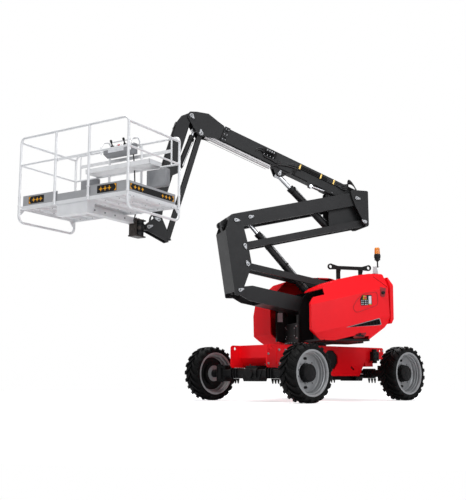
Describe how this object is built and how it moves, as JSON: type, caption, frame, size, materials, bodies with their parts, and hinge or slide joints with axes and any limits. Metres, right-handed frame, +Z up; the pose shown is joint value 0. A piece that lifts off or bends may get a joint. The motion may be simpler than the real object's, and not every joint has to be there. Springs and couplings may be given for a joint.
{
  "type": "articulating boom lift",
  "caption": "Self-propelled articulating boom lift: chassis on wheels, slewing turret, parallelogram riser, telescopic boom, jib and rotating work platform.",
  "frame": {"origin": "on the ground under the slew axis, midway between the axles", "axes": "+X forward along the chassis, +Y to its left, +Z up; the turret is stored turned 24 degrees clockwise and the platform turned on its rotator, as pictured"},
  "size_m": [5.7344, 3.4252, 4.5155],
  "materials": {
    "red_paint": "semi gloss",
    "charcoal_paint": "satin",
    "black_paint": "satin",
    "rim_silver": "semi gloss",
    "tyre": "matt",
    "aluminium": "satin",
    "bright_steel": "polished",
    "cast_weight": "matt",
    "black_plastic": "matt",
    "grey_plastic": "matt",
    "amber_lens": "gloss",
    "steel": "brushed"
  },
  "bodies": {
    "chassis": {"chassis_frame": "red_paint", "oscillation_cylinders": "black_paint", "front_axle": "black_paint", "rear_axle": "black_paint", "slew_ring": "black_paint"},
    "turret": {"turret_frame": "black_paint", "counterweight": "red_paint", "engine": "cast_weight", "hydraulic_tank": "black_paint", "front_cover": "black_plastic", "lifting_bar": "black_paint"},
    "left_hood": {"left_hood": "red_paint", "beacon_stand": "black_plastic", "beacon": "amber_lens"},
    "right_hood": {"right_hood": "red_paint"},
    "platform": {"platform_support": "steel", "platform_floor": "aluminium", "platform_rails": "aluminium", "platform_console": "grey_plastic"},
    "entry_bar": {"entry_bar": "aluminium"},
    "front_left_knuckle": {"front_left_knuckle": "black_paint"},
    "front_left_wheel": {"front_left_rim": "rim_silver", "front_left_tyre": "tyre"},
    "front_right_knuckle": {"front_right_knuckle": "black_paint"},
    "front_right_wheel": {"front_right_rim": "rim_silver", "front_right_tyre": "tyre"},
    "rear_left_knuckle": {"rear_left_knuckle": "black_paint"},
    "rear_left_wheel": {"rear_left_rim": "rim_silver", "rear_left_tyre": "tyre"},
    "rear_right_knuckle": {"rear_right_knuckle": "black_paint"},
    "rear_right_wheel": {"rear_right_rim": "rim_silver", "rear_right_tyre": "tyre"},
    "lower_arm": {"lower_arm": "charcoal_paint"},
    "lower_tie_rods": {"lower_tie_rods": "charcoal_paint"},
    "upright": {"upright": "charcoal_paint"},
    "upper_arm": {"upper_arm": "charcoal_paint"},
    "upper_tie_rods": {"upper_tie_rods": "charcoal_paint"},
    "timing_link": {"timing_link": "charcoal_paint"},
    "knuckle": {"knuckle": "charcoal_paint"},
    "boom": {"boom": "charcoal_paint", "cable_tray": "aluminium", "boom_hoses": "black_plastic"},
    "boom_nose": {"boom_nose": "charcoal_paint", "inner_boom": "charcoal_paint", "nose_pins": "steel", "jib_cylinder_lugs": "charcoal_paint"},
    "jib_arm": {"jib_arm": "charcoal_paint"},
    "jib_tie_rod": {"jib_tie_rod": "charcoal_paint"},
    "jib_end_link": {"jib_end_link": "charcoal_paint"},
    "platform_bracket": {"platform_bracket": "charcoal_paint"},
    "riser_cylinder_barrel": {"riser_cylinder_barrel": "charcoal_paint"},
    "riser_cylinder_rod": {"riser_cylinder_rod": "bright_steel"},
    "boom_lift_cylinder_barrel": {"boom_lift_cylinder_barrel": "charcoal_paint"},
    "boom_lift_cylinder_rod": {"boom_lift_cylinder_rod": "bright_steel"},
    "level_cylinder_barrel": {"level_cylinder_barrel": "charcoal_paint"},
    "level_cylinder_rod": {"level_cylinder_rod": "bright_steel"},
    "jib_cylinder_barrel": {"jib_cylinder_barrel": "charcoal_paint"},
    "jib_cylinder_rod": {"jib_cylinder_rod": "bright_steel"}
  },
  "joints": [
    {"name": "front_left_steer", "type": "hinge", "parent": "chassis", "child": "front_left_knuckle", "pos_m": [1.1, 0.79, 0.42], "axis": [0, 0, 1], "range_deg": [-30, 30]},
    {"name": "front_left_spin", "type": "hinge", "parent": "front_left_knuckle", "child": "front_left_wheel", "pos_m": [1.1, 1.04, 0.42], "axis": [0, 1, 0], "continuous": true},
    {"name": "front_right_steer", "type": "hinge", "parent": "chassis", "child": "front_right_knuckle", "pos_m": [1.1, -0.79, 0.42], "axis": [0, 0, 1], "range_deg": [-30.5, 30.5]},
    {"name": "front_right_spin", "type": "hinge", "parent": "front_right_knuckle", "child": "front_right_wheel", "pos_m": [1.1, -1.04, 0.42], "axis": [0, 1, 0], "continuous": true},
    {"name": "rear_left_steer", "type": "hinge", "parent": "chassis", "child": "rear_left_knuckle", "pos_m": [-1.1, 0.79, 0.42], "axis": [0, 0, 1], "range_deg": [-30, 30]},
    {"name": "rear_left_spin", "type": "hinge", "parent": "rear_left_knuckle", "child": "rear_left_wheel", "pos_m": [-1.1, 1.04, 0.42], "axis": [0, 1, 0], "continuous": true},
    {"name": "rear_right_steer", "type": "hinge", "parent": "chassis", "child": "rear_right_knuckle", "pos_m": [-1.1, -0.79, 0.42], "axis": [0, 0, 1], "range_deg": [-30.5, 30.5]},
    {"name": "rear_right_spin", "type": "hinge", "parent": "rear_right_knuckle", "child": "rear_right_wheel", "pos_m": [-1.1, -1.04, 0.42], "axis": [0, 1, 0], "continuous": true},
    {"name": "turret_slew", "type": "hinge", "parent": "chassis", "child": "turret", "pos_m": [0, 0, 0.84], "axis": [0, 0, 1], "range_deg": [-153.5, 201.5]},
    {"name": "left_hood_open", "type": "hinge", "parent": "turret", "child": "left_hood", "pos_m": [-0.54265, 0.55138, 1.903], "axis": [0.9135, -0.4067, 0], "range_deg": [0, 60]},
    {"name": "right_hood_open", "type": "hinge", "parent": "turret", "child": "right_hood", "pos_m": [-0.5262, -0.0755, 1.978], "axis": [-0.9135, 0.4067, 0], "range_deg": [0, 60]},
    {"name": "riser_lift", "type": "hinge", "parent": "turret", "child": "lower_arm", "pos_m": [-0.44904, 0.19992, 1.3702], "axis": [-0.4067, -0.9135, 0], "range_deg": [-13, 55]},
    {"name": "lower_tie_swing", "type": "hinge", "parent": "turret", "child": "lower_tie_rods", "pos_m": [-0.56963, 0.25361, 1.7742], "axis": [-0.4067, -0.9135, 0], "range_deg": [-13.5, 55.5]},
    {"name": "upright_level", "type": "hinge", "parent": "lower_arm", "child": "upright", "pos_m": [1.07798, -0.47995, 1.68], "axis": [-0.4067, -0.9135, 0], "range_deg": [-55.5, 13.5]},
    {"name": "upper_arm_lift", "type": "hinge", "parent": "upright", "child": "upper_arm", "pos_m": [1.13828, -0.50679, 2.771], "axis": [-0.4067, -0.9135, 0], "range_deg": [-55.5, 13.5]},
    {"name": "upper_tie_swing", "type": "hinge", "parent": "upright", "child": "upper_tie_rods", "pos_m": [1.0049, -0.44741, 2.383], "axis": [-0.4067, -0.9135, 0], "range_deg": [-55.5, 13.5]},
    {"name": "knuckle_level", "type": "hinge", "parent": "upper_arm", "child": "knuckle", "pos_m": [-0.75616, 0.33666, 3.25739], "axis": [-0.4067, -0.9135, 0], "range_deg": [-13.5, 55.5]},
    {"name": "timing_link_swing", "type": "hinge", "parent": "upper_arm", "child": "timing_link", "pos_m": [1.27169, -0.56619, 2.73675], "axis": [-0.4067, -0.9135, 0], "range_deg": [-15.22, 62.78]},
    {"name": "riser_cylinder_swing", "type": "hinge", "parent": "lower_arm", "child": "riser_cylinder_barrel", "pos_m": [-0.07739, 0.03446, 1.65002], "axis": [-0.4067, -0.9135, 0], "range_deg": [-28.3, 7.07]},
    {"name": "riser_cylinder_stroke", "type": "slide", "parent": "riser_cylinder_barrel", "child": "riser_cylinder_rod", "axis": [0.6151, -0.2739, 0.7394], "range_m": [-0.22111, 0.92901]},
    {"name": "boom_lift", "type": "hinge", "parent": "knuckle", "child": "boom", "pos_m": [-0.41084, 0.18292, 3.33039], "axis": [-0.4067, -0.9135, 0], "range_deg": [-15, 51]},
    {"name": "boom_lift_cylinder_swing", "type": "hinge", "parent": "knuckle", "child": "boom_lift_cylinder_barrel", "pos_m": [-0.41724, 0.18577, 2.75239], "axis": [-0.4067, -0.9135, 0], "range_deg": [-10.25, 33.67]},
    {"name": "boom_lift_cylinder_stroke", "type": "slide", "parent": "boom_lift_cylinder_barrel", "child": "boom_lift_cylinder_rod", "axis": [0.6617, -0.2946, 0.6895], "range_m": [-0.08499, 0.28418]},
    {"name": "level_cylinder_swing", "type": "hinge", "parent": "knuckle", "child": "level_cylinder_barrel", "pos_m": [-0.57345, 0.41513, 3.25939], "axis": [-0.4067, -0.9135, 0], "range_deg": [-9.68, 31.71]},
    {"name": "level_cylinder_stroke", "type": "slide", "parent": "level_cylinder_barrel", "child": "level_cylinder_rod", "axis": [0.88, -0.3918, 0.2687], "range_m": [-0.04142, 0.01359]},
    {"name": "telescope", "type": "slide", "parent": "boom", "child": "boom_nose", "axis": [0.8529, -0.3797, 0.3584], "range_m": [0, 1.7]},
    {"name": "jib_lift", "type": "hinge", "parent": "boom_nose", "child": "jib_arm", "pos_m": [1.7572, -0.78236, 4.4449], "axis": [-0.4067, -0.9135, 0], "range_deg": [-10, 112]},
    {"name": "jib_tie_swing", "type": "hinge", "parent": "boom_nose", "child": "jib_tie_rod", "pos_m": [1.61451, -0.71883, 4.16536], "axis": [-0.4067, -0.9135, 0], "range_deg": [-10.5, 112.5]},
    {"name": "jib_end_level", "type": "hinge", "parent": "jib_arm", "child": "jib_end_link", "pos_m": [2.21904, -0.98798, 2.7382], "axis": [-0.4067, -0.9135, 0], "range_deg": [-112.5, 10.5]},
    {"name": "jib_cylinder_swing", "type": "hinge", "parent": "jib_arm", "child": "jib_cylinder_barrel", "pos_m": [1.93641, -0.86215, 3.56435], "axis": [-0.4067, -0.9135, 0], "range_deg": [-0.64, 2.05]},
    {"name": "jib_cylinder_stroke", "type": "slide", "parent": "jib_cylinder_barrel", "child": "jib_cylinder_rod", "axis": [-0.3363, 0.1497, 0.9298], "range_m": [-0.03489, 0.37033]},
    {"name": "platform_level", "type": "hinge", "parent": "jib_end_link", "child": "platform_bracket", "pos_m": [2.35608, -1.04899, 2.6182], "axis": [-0.4067, -0.9135, 0], "range_deg": [-51.5, 15.5]},
    {"name": "platform_rotate", "type": "hinge", "parent": "platform_bracket", "child": "platform", "pos_m": [2.48763, -1.10756, 2.5982], "axis": [0, 0, 1], "range_deg": [-130.7, 49.3]},
    {"name": "entry_bar_lift", "type": "hinge", "parent": "platform", "child": "entry_bar", "pos_m": [3.96268, -0.98868, 3.39154], "axis": [0.9578, 0.2874, 0], "range_deg": [0, 75]}
  ],
  "couplings": [
    {"joint": "front_right_steer", "follows": "front_left_steer", "ratio": 1},
    {"joint": "rear_right_steer", "follows": "rear_left_steer", "ratio": 1},
    {"joint": "lower_tie_swing", "follows": "riser_lift", "ratio": 1},
    {"joint": "upright_level", "follows": "riser_lift", "ratio": -1},
    {"joint": "upper_arm_lift", "follows": "riser_lift", "ratio": -1},
    {"joint": "upper_tie_swing", "follows": "riser_lift", "ratio": -1},
    {"joint": "knuckle_level", "follows": "riser_lift", "ratio": 1},
    {"joint": "timing_link_swing", "follows": "riser_lift", "ratio": 1.1323},
    {"joint": "riser_cylinder_swing", "follows": "riser_lift", "ratio": -0.50548},
    {"joint": "riser_cylinder_stroke", "follows": "riser_lift", "m_per_rad": 0.96571},
    {"joint": "boom_lift_cylinder_swing", "follows": "boom_lift", "ratio": 0.65033},
    {"joint": "boom_lift_cylinder_stroke", "follows": "boom_lift", "m_per_rad": 0.31701},
    {"joint": "level_cylinder_swing", "follows": "boom_lift", "ratio": 0.61198},
    {"joint": "level_cylinder_stroke", "follows": "boom_lift", "m_per_rad": -0.044284},
    {"joint": "jib_tie_swing", "follows": "jib_lift", "ratio": 1},
    {"joint": "jib_end_level", "follows": "jib_lift", "ratio": -1},
    {"joint": "jib_cylinder_swing", "follows": "jib_lift", "ratio": 0.013804},
    {"joint": "jib_cylinder_stroke", "follows": "jib_lift", "m_per_rad": 0.18842},
    {"joint": "platform_level", "follows": "boom_lift", "ratio": -1}
  ]
}
